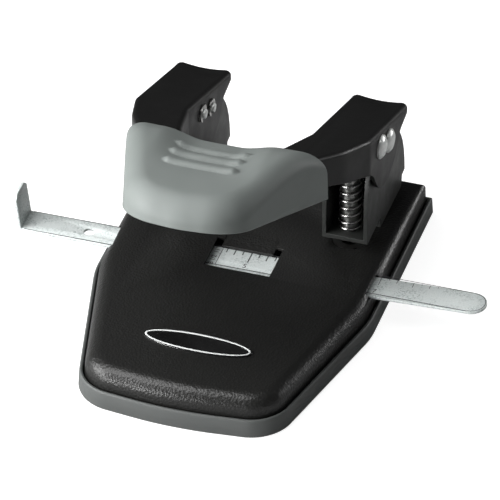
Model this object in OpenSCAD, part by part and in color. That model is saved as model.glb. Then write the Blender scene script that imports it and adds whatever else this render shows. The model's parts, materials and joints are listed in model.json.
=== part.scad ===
/* [Punching] */
// Distance between the two punch axes, 2 3/4 inches
hole_spacing = 69.85; // [66:0.05:72]
// Diameter of each punch
punch_d = 7.1; // [6.5:0.1:7.5]
// Clear height of the slot that takes the paper
throat_h = 4.4; // [3.5:0.1:4.8]
// Distance from the punch axis back to the paper stop
throat_depth = 10.2; // [9:0.1:10.4]

/* [Base] */
// Half width of the tray at its parallel rear part
tray_half_w = 54.8; // [54:0.1:58]
// Rear edge of the tray, behind the punch axes
tray_rear = 45; // [44.5:0.1:50]
// Where the sides begin to taper, in front of the punch axes
tray_kink = 37.3; // [35:0.1:45]
// Half width of the nose where its two edges would meet
nose_half_w = 38.4; // [34:0.1:42]
// Distance of those nose corners in front of the punch axes
nose_side = 106.2; // [104:0.1:108]
// Distance of the bowed nose tip in front of the punch axes
nose_tip = 110.4; // [109:0.1:114]
// Height of the tray rim
tray_h = 7.8; // [7:0.1:8.4]
// Wall of the moulded tray
tray_wall = 1.8; // [1.5:0.1:2]
// Height of the flat top of the base cover
cover_top = 15.7; // [15.7:0.1:16]
// Sheet thickness of the base cover
cover_t = 1.2; // [1:0.1:1.2]
// Radius of the cover's shoulder along the front and sides
shoulder_r = 6; // [4:0.5:6.5]
// Radius of the cover's shoulder at its rear edge
rear_r = 2.2; // [1.8:0.1:4]

/* [Window and paper guide] */
// Width of the scale window
window_w = 25.9; // [22:0.1:28]
// Depth of the scale window, front to back
window_d = 17.8; // [16:0.1:18]
// Centre of the window in front of the punch axes
window_y = 22.8; // [22.5:0.1:23.2]
// Width of the paper guide strip
guide_w = 12; // [11:0.1:12.8]
// Thickness of the paper guide strip
guide_t = 1.2; // [1:0.1:1.3]
// Reach of the strip to the left, up to its bent tab
guide_left = 87.6; // [80:0.1:95]
// Reach of the strip to the right
guide_right = 95; // [85:0.1:100]
// Height of the bent tab above the strip
tab_h = 14.7; // [10:0.5:16]
// Outward lean of the bent tab
tab_lean = 7; // [0:1:10]
// Upward bend of the strip's free right end
guide_bend = 2.2; // [0:0.1:2.4]

/* [Punch heads] */
// Width of a bracket over its two side plates
bracket_w = 17.8; // [17:0.1:18]
// Thickness of the bracket plates
bracket_t = 1.6; // [1.4:0.1:1.8]
// Thickness of the plate that guides the punch
guide_plate_t = 1.8; // [1.5:0.1:2]
// Distance of the lever pivot behind the punch axis
pivot_y = 11.3; // [11.1:0.1:11.5]
// Height of the lever pivot
pivot_z = 56.2; // [56:0.1:56.6]
// Distance from the pivot forward to the drive pin
drive_arm = 10.4; // [10.2:0.1:10.6]
// Rise from the pivot to the drive pin
drive_rise = 4.4; // [4.2:0.1:4.6]
// Shank diameter of the pins
pin_d = 3.8; // [3.6:0.1:3.8]
// Diameter of the pin heads
pin_head_d = 9.3; // [8:0.1:9.6]
// Outer diameter of the retaining clips on the pins
clip_d = 6.8; // [6.2:0.1:7.5]

/* [Springs] */
// Wire diameter of the return springs
spring_wire = 0.9; // [0.8:0.1:1.1]
// Coils of each return spring
spring_coils = 9.5; // [6:0.5:10]

/* [Lever and grip] */
// Width of one lever arm over its two flanges
arm_w = 22; // [21.4:0.1:22.4]
// Sheet thickness of the lever
lever_t = 1.4; // [1.2:0.1:1.4]
// Slope of the lever's top, rising to the front
lever_slope = 19.5; // [19:0.1:20]
// Wall of the soft grip over the lever
grip_wall = 2.4; // [2:0.1:3]
// Length of the ridges on the grip
ridge_len = 27.4; // [20:0.1:32]

/* [Badge] */
// Length of the oval badge
badge_len = 42; // [30:0.5:46]
// Width of the oval badge
badge_w = 11.2; // [8:0.1:14]
// Centre of the badge in front of the punch axes
badge_y = 78.3; // [75:0.1:84]

/* [Hidden] */
$fn = 48;

// Small working values
slit = 0.05;            // gap between parts that rest on each other
running = 0.05;         // radial clearance of a pin in its hole
over = 1;               // how far a cut runs past the solid
lever_room_h = 120;     // height well above the whole lever
axis_x = hole_spacing / 2;
slope = tan(lever_slope);

// Base
ledge_z = 3;
ledge_w = 3.5;
floor_t = 1.6;
cover_inset = tray_wall + 0.5;
cover_under = cover_top - cover_t;
shoulder_z = cover_top - shoulder_r;

// Bracket side view, heights and depths
throat_top = cover_top + throat_h;
guide_plate_top = throat_top + guide_plate_t;
bracket_front = 7.4;
foot_z = cover_top + slit;
fin_rear = 42.2;
web_y = 36;               // front face of the upright web between the side plates
web_top = 42;
pivot_boss_r = 4.4;

// Die
die_d = 13;
die_bore = punch_d + 0.1;
die_plate_t = 3;
die_plate_top = cover_under - slit;
die_flange_t = 1.1;

// Punch
punch_tip = throat_top + 0.3;
drive_y = pivot_y - drive_arm;
drive_z = pivot_z + drive_rise;
drive_swing = 0.42;       // half of the drive pin's travel across the punch
slot_y = drive_y - drive_swing;
groove_z = 50;
groove_w = 1;
groove_d = punch_d - 1;

// Pins, measured along X from the punch axis
pin_reach = arm_w / 2;
pin_head_t = 1.8;
clip_t = 0.7;
pin_groove_d = pin_d - 0.8;

// Paper guide
guide_top = cover_top - 2;
guide_y = -window_y - 0.3;
guide_hole_d = 4.3;
guide_hole_x = -61;

// Lever side view: a line of points below the sloping top
lever_rear = 39.3;
lever_rear_z = 54.2;
lever_front = 91;
function lever_top(y) = lever_rear_z + (lever_rear - y) * slope;

// ---------- shared shapes ----------

// Mirrors its children to the left head when side is -1
module at_head(side) {
    mirror([side < 0 ? 1 : 0, 0, 0])
        translate([axis_x, 0, 0])
            children();
}

// Stands a side-view outline of [y, z] points up and gives it a width along X
module side_view(width, points) {
    translate([-width / 2, 0, 0])
        rotate([90, 0, 90])
            linear_extrude(width)
                polygon(points);
}

// Points of a corner of radius r between the neighbours a and c of the vertex b
function corner_arc(a, b, c, r, steps = 7) =
    let (
        u = (a - b) / norm(a - b),
        v = (c - b) / norm(c - b),
        half = acos(max(-1, min(1, u * v))) / 2,
        centre = b + (u + v) / norm(u + v) * r / sin(half),
        p = b + u * r / tan(half) - centre,
        q = b + v * r / tan(half) - centre,
        start = atan2(p[1], p[0]),
        turn = (atan2(q[1], q[0]) - start + 540) % 360 - 180
    )
    [for (i = [0 : steps]) centre + r * [cos(start + turn * i / steps), sin(start + turn * i / steps)]];

// A closed outline of [x, y, corner radius] vertices with its corners rounded
function rounded(v) =
    let (n = len(v))
    [for (i = [0 : n - 1])
        let (a = v[(i + n - 1) % n], b = v[i], c = v[(i + 1) % n])
        each corner_arc([a[0], a[1]], [b[0], b[1]], [c[0], c[1]], b[2])];

// A half outline on the +X side, closed by its own mirror image
function both_sides(half) = concat(half, [for (i = [len(half) - 1 : -1 : 0]) if (half[i][0] > 0)
    [-half[i][0], half[i][1], half[i][2]]]);

// ---------- base ----------

base_outline = rounded(both_sides([
    [0, -nose_tip, 150],
    [nose_half_w, -nose_side, 17],
    [tray_half_w, -tray_kink, 40],
    [tray_half_w, tray_rear, 0.6]
]));

// A thin slice of the base outline, drawn in by inset
module base_slice(z, inset) {
    translate([0, 0, z])
        linear_extrude(0.01)
            offset(delta = -inset)
                polygon(base_outline);
}

module base_block(z, inset, h) {
    translate([0, 0, z])
        linear_extrude(h)
            offset(delta = -inset)
                polygon(base_outline);
}

module chip_tray() {
    color([0.38, 0.38, 0.38])
        difference() {
            hull() {
                base_slice(0, 0.7);
                base_slice(0.7, 0);
                base_slice(tray_h - 0.01, 0.5);
            }
            base_block(ledge_z, tray_wall, tray_h);
            base_block(floor_t, tray_wall + ledge_w, tray_h);
        }
}

// The domed body of the cover, with its skin moved in by skin: a broad shoulder round the front,
// which narrows to rear_r at the rear corners
module cover_form(skin) {
    inset = cover_inset + 0.3 + skin;
    corner_x = tray_half_w - inset;
    corner_y = tray_rear - inset;
    ball_r = rear_r - skin;
    hull() {
        base_slice(ledge_z + slit - (skin > 0 ? over : 0), cover_inset + skin);
        base_slice(shoulder_z, inset);
        intersection() {
            union()
                for (a = [30 : 30 : 90])
                    base_slice(
                        shoulder_z + (shoulder_r - skin) * sin(a) - 0.01,
                        inset + (shoulder_r - skin) * (1 - cos(a))
                    );
            translate([-tray_half_w, -2 * nose_tip, 0])
                cube([2 * tray_half_w, 2 * nose_tip - tray_kink, cover_top + over]);
        }
        for (s = [-1, 1]) {
            translate([s * (corner_x - ball_r), corner_y - ball_r, cover_top - rear_r])
                sphere(r = ball_r);
            translate([s * (corner_x - 0.6) - 0.6, corner_y - 1.2, shoulder_z])
                cube([1.2, 1.2, cover_top - rear_r - shoulder_z]);
        }
    }
}

module scale_window() {
    translate([-window_w / 2, -window_y - window_d / 2, cover_under - over])
        cube([window_w, window_d, cover_t + 2 * over]);
}

// Tongue lanced from the back edge of the window, which presses on the paper guide
module window_tongue() {
    tongue_w = 20;
    tongue_l = 4.4;
    drop = 10;
    translate([-tongue_w / 2, -window_y + window_d / 2 + 0.6, cover_top])
        rotate([drop, 0, 0])
            translate([0, -tongue_l, -cover_t])
                cube([tongue_w, tongue_l, cover_t]);
}

module base_cover() {
    slot_w = guide_w + 1;
    slot_h = guide_t + 1.2;
    color([0.11, 0.11, 0.11])
        union() {
            difference() {
                cover_form(0);
                cover_form(cover_t);
                scale_window();
                for (side = [-1, 1]) {
                    at_head(side)
                        translate([0, 0, cover_under - over])
                            cylinder(h = cover_t + 2 * over, d = die_d + 0.2);
                    translate([side * tray_half_w - 9, guide_y - slot_w / 2, guide_top - guide_t - 0.3])
                        cube([18, slot_w, slot_h]);
                    for (y = rivet_ys)
                        at_head(side)
                            translate([0, y, cover_under - over])
                                cylinder(h = cover_t + 2 * over, d = rivet_d + 0.1);
                }
            }
            window_tongue();
        }
}

module die_plate() {
    plate_x = 46;
    plate_front = 10;
    plate_depth = 46;
    color([0.62, 0.62, 0.64])
        difference() {
            translate([-plate_x, -plate_front, die_plate_top - die_plate_t])
                cube([2 * plate_x, plate_depth, die_plate_t]);
            for (side = [-1, 1])
                at_head(side) {
                    translate([0, 0, die_plate_top - die_plate_t - over])
                        cylinder(h = die_plate_t + 2 * over, d = die_d + 0.1);
                    for (y = rivet_ys)
                        translate([0, y, die_plate_top - die_plate_t - over])
                            cylinder(h = die_plate_t + 2 * over, d = rivet_d + 0.1);
                }
        }
}

// Hardened bush whose rim shears the paper
module die(side) {
    flange_d = die_d + 3;
    relief_h = 3;
    relief_d = die_bore + 1.2;
    z0 = die_plate_top - die_plate_t - slit - die_flange_t;
    color([0.72, 0.72, 0.74])
        at_head(side)
            difference() {
                union() {
                    translate([0, 0, z0])
                        cylinder(h = cover_top - z0, d = die_d);
                    translate([0, 0, z0])
                        cylinder(h = die_flange_t, d = flange_d);
                }
                translate([0, 0, z0 - over])
                    cylinder(h = cover_top - z0 + 2 * over, d = die_bore);
                translate([0, 0, z0 - over])
                    cylinder(h = relief_h + over, d = relief_d);
            }
}

// ---------- punch heads ----------

rivet_ys = [19, 31];
rivet_d = 4;

bracket_side = concat(
    [[-bracket_front, throat_top], [-bracket_front, 40], [-6, 48.5], [-2.6, 52.2], [3.6, 52.2]],
    [for (a = [180 : -15 : 45]) [pivot_y + pivot_boss_r * cos(a), pivot_z + pivot_boss_r * sin(a)]],
    [[20, 55.6], [30, 48.8], [34, 44.2], [36.6, 40.6], [38.8, 36.6], [40.6, 31.6], [41.7, 26.4], [fin_rear, 20.8]],
    [[38.8, 20.4], [38, foot_z], [throat_depth + bracket_t, foot_z], [throat_depth, foot_z], [throat_depth, throat_top]]
);

module bracket(side) {
    inner_w = bracket_w - 2 * bracket_t;
    color([0.2, 0.21, 0.2])
        at_head(side)
            difference() {
                union() {
                    for (s = [-1, 1])
                        translate([s * (bracket_w - bracket_t) / 2, 0, 0])
                            side_view(bracket_t, bracket_side);
                    side_view(inner_w + 0.4, [
                        [-bracket_front, throat_top], [-bracket_front, guide_plate_top],
                        [throat_depth + bracket_t, guide_plate_top], [throat_depth + bracket_t, foot_z + bracket_t],
                        [web_y, foot_z + bracket_t], [web_y, web_top], [web_y + bracket_t, web_top - 1],
                        [web_y + bracket_t, foot_z], [throat_depth, foot_z], [throat_depth, throat_top]
                    ]);
                }
                translate([-bracket_w, pivot_y, pivot_z])
                    rotate([0, 90, 0])
                        cylinder(h = 2 * bracket_w, d = pin_d + 2 * running);
                translate([0, 0, throat_top - over])
                    cylinder(h = guide_plate_t + 2 * over, d = punch_d + 2 * running);
                for (y = rivet_ys)
                    translate([0, y, foot_z - over])
                        cylinder(h = bracket_t + 2 * over, d = rivet_d + 0.1);
            }
}

// Round-headed rivet closed over the underside of the die plate
module rivet() {
    top = foot_z + bracket_t + slit;
    bottom = die_plate_top - die_plate_t - slit;
    rotate_extrude()
        polygon([
            [0, bottom - 1.1], [2.6, bottom - 1.1], [3.2, bottom - 0.5], [3.2, bottom], [rivet_d / 2, bottom],
            [rivet_d / 2, top], [3.7, top], [3.5, top + 0.8], [2.6, top + 1.4], [1.3, top + 1.75], [0, top + 1.8]
        ]);
}

module bracket_rivets() {
    color([0.6, 0.6, 0.62])
        for (side = [-1, 1], y = rivet_ys)
            at_head(side)
                translate([0, y, 0])
                    rivet();
}

// Headed pin along X with its head on the outer side of the head and a groove at its inner end
module headed_pin() {
    head_x = pin_reach + slit;
    groove_x = -pin_reach - slit - clip_t - 0.1;
    end_x = groove_x - 1;
    r = pin_d / 2;
    rotate([0, 90, 0])
        rotate_extrude()
            polygon([
                [0, end_x], [r - 0.3, end_x], [r, end_x + 0.3], [r, groove_x],
                [pin_groove_d / 2, groove_x], [pin_groove_d / 2, groove_x + clip_t + 0.1], [r, groove_x + clip_t + 0.1],
                [r, head_x], [pin_head_d / 2, head_x], [pin_head_d / 2, head_x + 0.7],
                [pin_head_d / 2 - 0.5, head_x + 1.2], [pin_head_d / 2 - 1.4, head_x + pin_head_t], [0, head_x + pin_head_t]
            ]);
}

// Open retaining clip with three lobes that grip the groove
module e_clip() {
    x = -pin_reach - slit - clip_t - 0.05;
    r = clip_d / 2;
    mouth = 2.6;
    lobe_turn = 115;
    relief_r = 0.55;
    translate([x, 0, 0])
        rotate([0, 90, 0])
            difference() {
                cylinder(h = clip_t, r = r);
                translate([0, 0, -over])
                    cylinder(h = clip_t + 2 * over, d = pin_groove_d + 0.04);
                translate([0, -mouth / 2, -over])
                    cube([r + over, mouth, clip_t + 2 * over]);
                for (s = [-1, 1])
                    rotate([0, 0, s * lobe_turn])
                        translate([pin_d / 2 + 0.1, 0, -over])
                            cylinder(h = clip_t + 2 * over, r = relief_r);
            }
}

module pivot_pin(side) {
    color([0.78, 0.78, 0.8])
        at_head(side)
            translate([0, pivot_y, pivot_z])
                headed_pin();
}

module drive_pin(side) {
    color([0.78, 0.78, 0.8])
        at_head(side)
            translate([0, drive_y, drive_z])
                headed_pin();
}

module clip_pair(y, z) {
    color([0.55, 0.55, 0.57])
        for (side = [-1, 1])
            at_head(side)
                translate([0, y, z])
                    e_clip();
}

// Round punch with a domed top, a cross slot for the drive pin and a hollow-ground end
module punch(side) {
    r = punch_d / 2;
    slot_r = pin_d / 2 + 0.12;
    grind_r = 9;
    grind_depth = 0.9;
    color([0.75, 0.75, 0.77])
        at_head(side)
            difference() {
                union() {
                    translate([0, 0, punch_tip])
                        cylinder(h = drive_z - punch_tip, r = r);
                    translate([0, 0, drive_z])
                        sphere(r = r);
                }
                for (y = [slot_y - drive_swing, slot_y + drive_swing])
                    translate([-punch_d, y, drive_z])
                        rotate([0, 90, 0])
                            cylinder(h = 2 * punch_d, r = slot_r);
                translate([-punch_d, slot_y - drive_swing, drive_z - slot_r])
                    cube([2 * punch_d, 2 * drive_swing, 2 * slot_r]);
                translate([-punch_d, 0, punch_tip - grind_r + grind_depth])
                    rotate([0, 90, 0])
                        cylinder(h = 2 * punch_d, r = grind_r);
                translate([0, 0, groove_z - slit])
                    rotate_extrude()
                        translate([groove_d / 2, 0])
                            square([punch_d, groove_w + 2 * slit]);
            }
}

// Snap ring in the punch's groove, which takes the push of the spring
module spring_clip(side) {
    ring_d = 10.6;
    mouth = 3.2;
    color([0.55, 0.55, 0.57])
        at_head(side)
            translate([0, 0, groove_z])
                difference() {
                    cylinder(h = groove_w, d = ring_d);
                    translate([0, 0, -over])
                        cylinder(h = groove_w + 2 * over, d = groove_d + 2 * running);
                    translate([-mouth / 2, 0, -over])
                        cube([mouth, ring_d, groove_w + 2 * over]);
                }
}

// Helix of round wire whose end coils lie flat
function spring_z(t, length) =
    let (dead = 1, live = spring_coils - 2 * dead, flat = spring_wire * 1.05)
    t < dead ? flat * t
    : t > spring_coils - dead ? length - flat * (spring_coils - t)
    : flat + (length - 2 * flat) * (t - dead) / live;

module spring(side) {
    turn_steps = 16;
    wire_steps = 8;
    r = punch_d / 2 + 0.25 + spring_wire / 2;
    z0 = guide_plate_top + slit + spring_wire / 2;
    length = groove_z - slit - spring_wire / 2 - z0;
    n = round(spring_coils * turn_steps);
    points = [for (i = [0 : n], j = [0 : wire_steps - 1])
        let (
            a = 360 * i / turn_steps,
            b = 360 * (j + 0.5) / wire_steps,
            out = r + spring_wire / 2 * cos(b)
        )
        [out * cos(a), out * sin(a), z0 + spring_z(i / turn_steps, length) + spring_wire / 2 * sin(b)]];
    tube = [for (i = [0 : n - 1], j = [0 : wire_steps - 1])
        let (k = (j + 1) % wire_steps)
        [i * wire_steps + j, i * wire_steps + k, (i + 1) * wire_steps + k, (i + 1) * wire_steps + j]];
    start_cap = [for (j = [wire_steps - 1 : -1 : 0]) j];
    end_cap = [for (j = [0 : wire_steps - 1]) n * wire_steps + j];
    color([0.8, 0.8, 0.82])
        at_head(side)
            polyhedron(points, concat(tube, [start_cap, end_cap]), convexity = 10);
}

// ---------- lever ----------

arm_out = axis_x + arm_w / 2;
arm_in = axis_x - arm_w / 2;

lever_outline = rounded([
    [arm_out, lever_rear, 3], [arm_out, -12, 10], [41.2, -30, 30], [31.6, -50, 10], [17, -lever_front, 8],
    [-17, -lever_front, 8], [-31.6, -50, 10], [-41.2, -30, 30], [-arm_out, -12, 10], [-arm_out, lever_rear, 3],
    [-arm_in, lever_rear, 3], [-arm_in, -15, 5], [-19.5, -37, 5], [-12, -48, 8],
    [12, -48, 8], [19.5, -37, 5], [arm_in, -15, 5], [arm_in, lever_rear, 3]
]);

// Lower edge of the flanges from the rear to the front
flange_edge = [
    [lever_rear + over, 52], [27, 49.4], [23, 43.6], [19.5, 40.3], [14, 38.6], [8.5, 38.4], [3, 39.8],
    [-0.8, 42.6], [-3.8, 46.2], [-7.5, 52.6], [-11.5, 55.8], [-36.8, 67], [-lever_front - over, 88]
];

// Everything between the flange edge and a top lowered by drop
function lever_side(drop) = concat(flange_edge, [
    [-lever_front - over, lever_top(-lever_front - over) - drop],
    [lever_rear + over, lever_top(lever_rear + over) - drop]
]);

module pin_holes(d) {
    for (side = [-1, 1], p = [[pivot_y, pivot_z], [drive_y, drive_z]])
        at_head(side)
            translate([-arm_w, p[0], p[1]])
                rotate([0, 90, 0])
                    cylinder(h = 2 * arm_w, d = d);
}

module lever() {
    wide = 2 * arm_out + 2 * over;
    drop = lever_t / cos(lever_slope);
    color([0.13, 0.13, 0.13])
        difference() {
            intersection() {
                linear_extrude(lever_room_h)
                    polygon(lever_outline);
                side_view(wide, lever_side(0));
            }
            intersection() {
                linear_extrude(lever_room_h)
                    offset(delta = -lever_t)
                        polygon(lever_outline);
                side_view(wide, [
                    [-lever_front - over, 0], [-lever_front - over, lever_top(-lever_front - over) - drop],
                    [lever_rear + over, lever_top(lever_rear + over) - drop], [lever_rear + over, 0]
                ]);
            }
            pin_holes(pin_d + 2 * running);
        }
}

// ---------- grip ----------

grip_foot_z = 65.2;
grip_foot_slope = 0.35;
grip_rear = -42.1;

grip_foot = rounded(both_sides([[0, -103.5, 28], [21.1, -100.5, 19], [38.6, grip_rear, 3.5]]));
grip_middle = rounded(both_sides([[0, -101.5, 28], [20.6, -98.5, 18], [38.2, grip_rear - 0.5, 4]]));
grip_crown = rounded(both_sides([[0, -90, 28], [17, -87, 12], [33.5, grip_rear - 2.4, 4]]));

// A thin slice in plan, lifted so that it slopes up to the front
module sloping_slice(points, z_at_rear, rise) {
    multmatrix([[1, 0, 0, 0], [0, 1, 0, 0], [0, -rise, 1, z_at_rear + grip_rear * rise], [0, 0, 0, 1]])
        linear_extrude(0.01)
            polygon(points);
}

module grip_form() {
    shoulder = 5.6;           // drop from the crown to where the walls begin
    crown = lever_top(grip_rear) + grip_wall / cos(lever_slope);
    hull() {
        sloping_slice(grip_foot, grip_foot_z, grip_foot_slope);
        sloping_slice(grip_middle, crown - shoulder, slope * 0.9);
        sloping_slice(grip_crown, crown, slope);
    }
}

module grip_ridges() {
    ridge_r = 2.4;
    sunk = 1.6;
    for (y = [-59, -67.2, -75.4]) {
        z = lever_top(y) + grip_wall / cos(lever_slope) - sunk;
        translate([-ridge_len / 2 + ridge_r, y, z])
            rotate([0, 90, 0])
                cylinder(h = ridge_len - 2 * ridge_r, r = ridge_r);
        for (s = [-1, 1])
            translate([s * (ridge_len / 2 - ridge_r), y, z])
                sphere(r = ridge_r);
    }
}

// The room the lever takes up inside the grip
module lever_room() {
    wide = 2 * arm_out + 2 * over;
    lift = 2 * slit;
    intersection() {
        linear_extrude(lever_room_h)
            offset(delta = 2 * slit)
                polygon(lever_outline);
        side_view(wide, [
            [-lever_front - over, 0], [-lever_front - over, lever_top(-lever_front - over) + lift],
            [lever_rear + over, lever_top(lever_rear + over) + lift], [lever_rear + over, 0]
        ]);
    }
}

module handle_grip() {
    color([0.5, 0.53, 0.52])
        difference() {
            union() {
                grip_form();
                grip_ridges();
            }
            lever_room();
        }
}

// ---------- paper guide ----------

module paper_guide() {
    r = guide_w / 2;
    z0 = guide_top - guide_t;
    top = z0 + guide_t;
    bend_x = 50.8;            // where the right end begins to rise
    rise = (guide_right + 1 - bend_x) * tan(guide_bend);
    lean_x = sin(tab_lean);
    lean_z = cos(tab_lean);
    long = tab_h + guide_t * (1 - lean_x);
    inner = guide_t * (1 - lean_x) / lean_z;
    tab_top = z0 + guide_t * lean_x + long * lean_z;
    clip_y = 1.8;
    clip_z = 2.2;
    color([0.7, 0.73, 0.73])
        difference() {
            intersection() {
                translate([0, guide_y + r + over, 0])
                    rotate([90, 0, 0])
                        linear_extrude(guide_w + 2 * over)
                            polygon([
                                [-guide_left, z0], [bend_x, z0], [guide_right + 1, z0 + rise],
                                [guide_right + 1, z0 + rise + guide_t / cos(guide_bend)],
                                [bend_x - guide_t * tan(guide_bend / 2), top],
                                [-guide_left + guide_t * lean_z - inner * lean_x, top],
                                [-guide_left + guide_t * lean_z - long * lean_x, tab_top],
                                [-guide_left - long * lean_x, z0 + long * lean_z]
                            ]);
                translate([0, guide_y, z0 - 1])
                    linear_extrude(20)
                        polygon([
                            [-guide_left - 5, -r],
                            for (a = [-90 : 7.5 : 90]) [guide_right - r + r * cos(a), r * sin(a)],
                            [-guide_left - 5, r]
                        ]);
            }
            for (side = [-1, 1])
                translate([-guide_left - 5, guide_y, tab_top])
                    rotate([90, 0, 90])
                        linear_extrude(10)
                            polygon([
                                [side * (r - clip_y - clip_y / clip_z), 1], [side * (r + 1), 1],
                                [side * (r + 1), -clip_z * (1 + 1 / clip_y)]
                            ]);
            translate([guide_hole_x, guide_y, z0 - over])
                cylinder(h = guide_t + 2 * over, d = guide_hole_d);
        }
}

// Channel under the cover that carries the paper guide
module guide_rail() {
    half = 44;
    lip_t = 1.2;
    gap_half = 15;            // the lips leave the window free
    rail_floor_t = 1;
    inside = guide_w / 2 + 0.4;
    floor_top = guide_top - guide_t - 0.3;
    color([0.55, 0.55, 0.57])
        union() {
            translate([-half, guide_y - inside - lip_t, floor_top - rail_floor_t])
                cube([2 * half, 2 * (inside + lip_t), rail_floor_t]);
            for (s = [-1, 1], x = [-half, gap_half])
                translate([x, guide_y + s * (inside + lip_t / 2) - lip_t / 2, floor_top - rail_floor_t])
                    cube([half - gap_half, lip_t, cover_under - slit - floor_top + rail_floor_t]);
        }
}

// ---------- badge ----------

module badge_plate() {
    plate_t = 0.5;
    rim_t = 0.9;
    rim_w = 0.9;
    z0 = cover_top + slit;
    color([0.08, 0.08, 0.08])
        translate([0, -badge_y, z0])
            union() {
                linear_extrude(plate_t)
                    polygon([for (a = [0 : 6 : 354]) [badge_len / 2 * cos(a), badge_w / 2 * sin(a)]]);
                linear_extrude(rim_t)
                    difference() {
                        polygon([for (a = [0 : 6 : 354]) [badge_len / 2 * cos(a), badge_w / 2 * sin(a)]]);
                        polygon([for (a = [0 : 6 : 354])
                            [(badge_len / 2 - rim_w) * cos(a), (badge_w / 2 - rim_w) * sin(a)]]);
                    }
            }
}

chip_tray();
base_cover();
die_plate();
die(-1);  // left_die
die(1);  // right_die
bracket(-1);  // left_bracket
bracket(1);  // right_bracket
bracket_rivets();
pivot_pin(-1);  // left_pivot_pin
pivot_pin(1);  // right_pivot_pin
clip_pair(pivot_y, pivot_z);  // pivot_pin_clips
lever();
handle_grip();
drive_pin(-1);  // left_drive_pin
drive_pin(1);  // right_drive_pin
clip_pair(drive_y, drive_z);  // drive_pin_clips
punch(-1);  // left_punch
punch(1);  // right_punch
spring_clip(-1);  // left_spring_clip
spring_clip(1);  // right_spring_clip
spring(-1);  // left_spring
spring(1);  // right_spring
paper_guide();
guide_rail();
badge_plate();
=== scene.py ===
import json
import math

import bmesh
import bpy
import numpy as np
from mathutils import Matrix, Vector


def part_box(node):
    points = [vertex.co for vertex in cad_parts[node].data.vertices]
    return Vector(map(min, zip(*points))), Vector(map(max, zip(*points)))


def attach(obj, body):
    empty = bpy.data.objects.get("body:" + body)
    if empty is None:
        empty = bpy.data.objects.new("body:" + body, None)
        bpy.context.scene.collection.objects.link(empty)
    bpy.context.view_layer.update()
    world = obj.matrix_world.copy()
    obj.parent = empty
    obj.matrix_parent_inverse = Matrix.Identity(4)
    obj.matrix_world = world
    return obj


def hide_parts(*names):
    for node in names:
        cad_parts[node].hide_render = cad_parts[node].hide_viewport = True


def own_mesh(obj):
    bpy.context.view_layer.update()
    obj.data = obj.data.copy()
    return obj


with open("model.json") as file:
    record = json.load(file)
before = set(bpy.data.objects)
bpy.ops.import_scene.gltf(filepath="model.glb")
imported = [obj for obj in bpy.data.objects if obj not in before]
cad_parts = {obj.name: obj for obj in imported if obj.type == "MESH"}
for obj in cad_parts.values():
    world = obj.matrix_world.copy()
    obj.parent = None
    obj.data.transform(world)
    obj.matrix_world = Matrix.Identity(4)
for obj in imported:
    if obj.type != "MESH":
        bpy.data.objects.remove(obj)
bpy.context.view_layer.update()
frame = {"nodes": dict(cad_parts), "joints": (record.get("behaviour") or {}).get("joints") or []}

MM = 0.001
INCH = 25.4
SMALLEST_R = 0.15  # mm, the sharpest corner an outline gets
MERGE = 1e-7  # m, points closer than this are one point
TINY = 1e-8  # m, edges shorter than this are dropped


def cad_box(node):
    """A CAD node's lowest and highest corners, in millimetres."""
    lo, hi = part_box(node)
    return lo / MM, hi / MM


def cad_middle(node):
    lo, hi = cad_box(node)
    return (lo + hi) / 2


def joint_named(name):
    return next(j for j in frame["joints"] if j["name"] == name)


# ---------- outlines ----------


def corner_arc(a, b, c, r, steps):
    """Points of a corner of radius r at b, between the neighbours a and c."""
    u = (a - b).normalized()
    v = (c - b).normalized()
    half = math.acos(max(-1.0, min(1.0, u.dot(v)))) / 2
    centre = b + (u + v).normalized() * (r / math.sin(half))
    p = b + u * (r / math.tan(half)) - centre
    q = b + v * (r / math.tan(half)) - centre
    start = math.atan2(p.y, p.x)
    turn = (math.atan2(q.y, q.x) - start + 3 * math.pi) % (2 * math.pi) - math.pi
    angles = [start + turn * i / steps for i in range(steps + 1)]
    return [centre + r * Vector((math.cos(t), math.sin(t))) for t in angles]


def moved_corner(a, b, c, inset):
    """Where the corner b goes when both its edges move left by inset, and if the path turns left."""
    d0 = (b - a).normalized()
    d1 = (c - b).normalized()
    n0 = Vector((-d0.y, d0.x))
    n1 = Vector((-d1.y, d1.x))
    mitre = (n0 + n1) / (1 + n0.dot(n1))
    return b + mitre * inset, d0.x * d1.y - d0.y * d1.x > 0


def ring(corners, inset, arc_steps, straight_steps=1):
    """A closed anticlockwise outline of (x, y, radius) corners, moved in by inset(y) or inset."""
    n = len(corners)
    at = [Vector(c[:2]) for c in corners]
    moved = []
    for i in range(n):
        by = inset(at[i].y) if callable(inset) else inset
        point, left = moved_corner(at[i - 1], at[i], at[(i + 1) % n], by)
        r = corners[i][2] - by if left else corners[i][2] + by
        moved.append((point, max(r, SMALLEST_R)))
    arcs = [
        corner_arc(moved[i - 1][0], moved[i][0], moved[(i + 1) % n][0], moved[i][1], arc_steps)
        for i in range(n)
    ]
    points = []
    for i in range(n):
        points += arcs[i]
        a, b = arcs[i][-1], arcs[(i + 1) % n][0]
        points += [a.lerp(b, k / straight_steps) for k in range(1, straight_steps)]
    return points


def both_sides(half):
    """Corners on the +X side, in order, and their mirror images after them in reverse."""
    return half + [(-x, y, r) for x, y, r in reversed(half) if x > 0]


def smoothstep(t):
    """0 up to t = 0, 1 from t = 1 on, and an even curve between."""
    t = np.clip(t, 0.0, 1.0)
    return t * t * (3 - 2 * t)


# ---------- meshes ----------


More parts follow.
